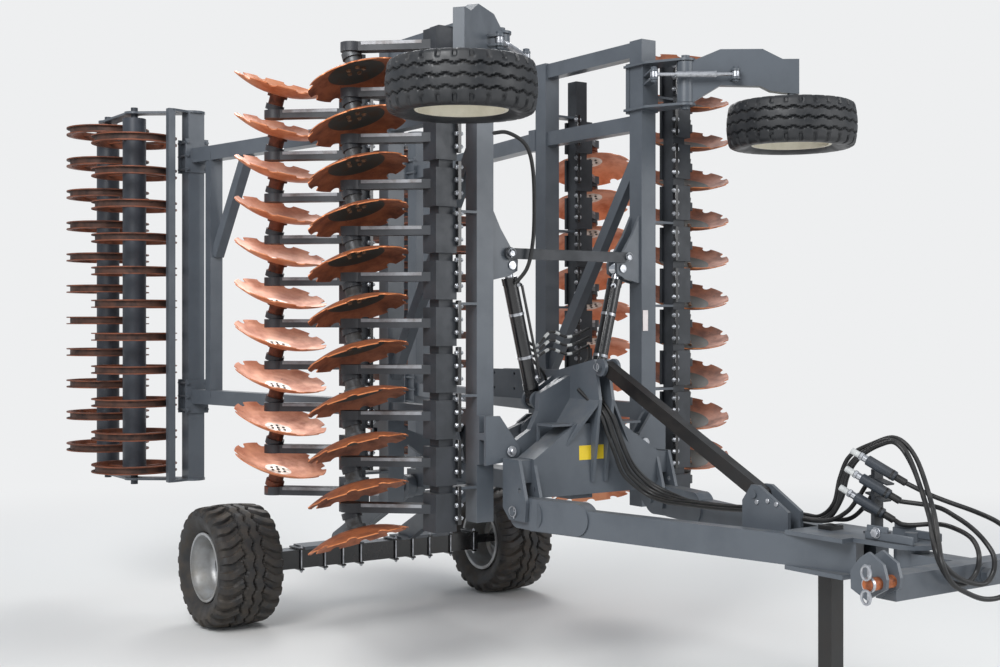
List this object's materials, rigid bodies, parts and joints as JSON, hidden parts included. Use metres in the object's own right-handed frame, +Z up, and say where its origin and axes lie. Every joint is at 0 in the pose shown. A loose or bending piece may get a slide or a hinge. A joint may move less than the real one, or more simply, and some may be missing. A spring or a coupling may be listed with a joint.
{
  "type": "disc harrow",
  "caption": "Trailed folding disc harrow, parked with its wings up: notched disc rows, ring rollers, gauge wheels, transport axle and drawbar",
  "frame": {"origin": "on the ground under the middle of the machine's box", "axes": "X forward to the hitch, Y to the left wing, Z up"},
  "size_m": [7.0998, 3.1798, 3.7631],
  "materials": {
    "paint": "satin anthracite paint with dust and small chips",
    "dark_paint": "dark satin paint",
    "gloss_black": "gloss black paint",
    "disc_steel": "worked steel with a thin coat of rust",
    "ring_steel": "rusty rings on a dull tube",
    "zinc": "zinc plated",
    "chrome": "polished rod",
    "rim_silver": "silver-grey paint, dusty",
    "rim_cream": "cream paint",
    "tyre": "matt black rubber with dust"
  },
  "bodies": {
    "chassis": {"center_frame": "paint", "headstock": "paint", "drawbar": "paint", "top_link": "gloss_black", "hose_holder": "dark_paint"},
    "carriage": {"carriage": "paint", "axle": "gloss_black"},
    "lift_barrel": {"lift_barrel": "gloss_black"},
    "lift_rod": {"lift_rod": "chrome"},
    "stand_leg": {"stand_leg": "gloss_black"},
    "hitch": {"hitch_yoke": "paint"},
    "wheel_right": {"tyre_right": "tyre", "rim_right": "rim_silver"},
    "fold_barrel_right": {"fold_barrel_right": "gloss_black"},
    "fold_rod_right": {"fold_rod_right": "chrome"},
    "wing_right": {"wing_frame_right": "paint", "front_gang_right": "dark_paint", "rear_gang_right": "dark_paint", "front_discs_right": "disc_steel", "rear_discs_right": "disc_steel", "roller_frame_right": "paint", "gauge_arm_right": "paint", "turnbuckle_right": "zinc", "lock_bar": "dark_paint"},
    "roller_front_right": {"roller_front_right": "ring_steel"},
    "roller_rear_right": {"roller_rear_right": "ring_steel"},
    "gauge_wheel_right": {"gauge_tyre_right": "tyre", "gauge_rim_right": "rim_cream"},
    "wheel_left": {"tyre_left": "tyre", "rim_left": "rim_silver"},
    "fold_barrel_left": {"fold_barrel_left": "gloss_black"},
    "fold_rod_left": {"fold_rod_left": "chrome"},
    "wing_left": {"wing_frame_left": "paint", "front_gang_left": "dark_paint", "rear_gang_left": "dark_paint", "front_discs_left": "disc_steel", "rear_discs_left": "disc_steel", "roller_frame_left": "paint", "gauge_arm_left": "paint", "turnbuckle_left": "zinc"},
    "roller_front_left": {"roller_front_left": "ring_steel"},
    "roller_rear_left": {"roller_rear_left": "ring_steel"},
    "gauge_wheel_left": {"gauge_tyre_left": "tyre", "gauge_rim_left": "rim_cream"}
  },
  "joints": [
    {"name": "carriage_lift", "type": "hinge", "parent": "chassis", "child": "carriage", "pos_m": [-0.6, 0, 0.95], "axis": [0, 1, 0], "range_deg": [0, 22]},
    {"name": "lift_barrel_swing", "type": "hinge", "parent": "chassis", "child": "lift_barrel", "pos_m": [-0.42, 0, 1.33], "axis": [0, 1, 0], "range_deg": [0, 14]},
    {"name": "lift_rod_slide", "type": "slide", "parent": "lift_barrel", "child": "lift_rod", "axis": [-0.8416, 0, -0.5401], "range_m": [-0.104, 0]},
    {"name": "stand_leg_slide", "type": "slide", "parent": "chassis", "child": "stand_leg", "axis": [0, 0, 1], "range_m": [0, 0.45]},
    {"name": "hitch_swivel", "type": "hinge", "parent": "chassis", "child": "hitch", "pos_m": [3.15, 0, 0.955], "axis": [0, 0, 1], "range_deg": [-50, 50]},
    {"name": "fold_right", "type": "hinge", "parent": "chassis", "child": "wing_right", "pos_m": [0.7, -0.48, 1.29], "axis": [1, 0, 0], "range_deg": [0, 90]},
    {"name": "fold_barrel_swing_right", "type": "hinge", "parent": "chassis", "child": "fold_barrel_right", "pos_m": [0.69, -0.215, 1.556], "axis": [1, 0, 0], "range_deg": [0, 90]},
    {"name": "fold_rod_slide_right", "type": "slide", "parent": "fold_barrel_right", "child": "fold_rod_right", "axis": [0, -0.2377, 0.9713], "range_m": [0, 0.525]},
    {"name": "transport_wheel_right", "type": "hinge", "parent": "carriage", "child": "wheel_right", "pos_m": [-1.5, -1.085, 0.4], "axis": [0, 1, 0], "continuous": true},
    {"name": "gauge_wheel_spin_right", "type": "hinge", "parent": "wing_right", "child": "gauge_wheel_right", "pos_m": [1.37, -1.152, 3.14], "axis": [0, 0, 1], "continuous": true},
    {"name": "roller_front_spin_right", "type": "hinge", "parent": "wing_right", "child": "roller_front_right", "pos_m": [-2.7, -1.29, 2.19], "axis": [0, 0, 1], "continuous": true},
    {"name": "roller_rear_spin_right", "type": "hinge", "parent": "wing_right", "child": "roller_rear_right", "pos_m": [-3.25, -1.29, 2.19], "axis": [0, 0, 1], "continuous": true},
    {"name": "fold_left", "type": "hinge", "parent": "chassis", "child": "wing_left", "pos_m": [0.7, 0.48, 1.29], "axis": [-1, 0, 0], "range_deg": [0, 90]},
    {"name": "fold_barrel_swing_left", "type": "hinge", "parent": "chassis", "child": "fold_barrel_left", "pos_m": [0.69, 0.215, 1.556], "axis": [-1, 0, 0], "range_deg": [0, 90]},
    {"name": "fold_rod_slide_left", "type": "slide", "parent": "fold_barrel_left", "child": "fold_rod_left", "axis": [0, 0.2377, 0.9713], "range_m": [0, 0.525]},
    {"name": "transport_wheel_left", "type": "hinge", "parent": "carriage", "child": "wheel_left", "pos_m": [-1.5, 1.085, 0.4], "axis": [0, 1, 0], "continuous": true},
    {"name": "gauge_wheel_spin_left", "type": "hinge", "parent": "wing_left", "child": "gauge_wheel_left", "pos_m": [1.37, 1.152, 3.14], "axis": [0, 0, 1], "continuous": true},
    {"name": "roller_front_spin_left", "type": "hinge", "parent": "wing_left", "child": "roller_front_left", "pos_m": [-2.7, 1.29, 2.19], "axis": [0, 0, 1], "continuous": true},
    {"name": "roller_rear_spin_left", "type": "hinge", "parent": "wing_left", "child": "roller_rear_left", "pos_m": [-3.25, 1.29, 2.19], "axis": [0, 0, 1], "continuous": true}
  ],
  "couplings": [
    {"joint": "fold_barrel_swing_right", "follows": "fold_right", "ratio": 0.9386},
    {"joint": "fold_rod_slide_right", "follows": "fold_right", "m_per_rad": 0.3323},
    {"joint": "fold_barrel_swing_left", "follows": "fold_left", "ratio": 0.9386},
    {"joint": "fold_rod_slide_left", "follows": "fold_left", "m_per_rad": 0.3323},
    {"joint": "lift_barrel_swing", "follows": "carriage_lift", "ratio": 0.56},
    {"joint": "lift_rod_slide", "follows": "carriage_lift", "m_per_rad": -0.2636}
  ]
}
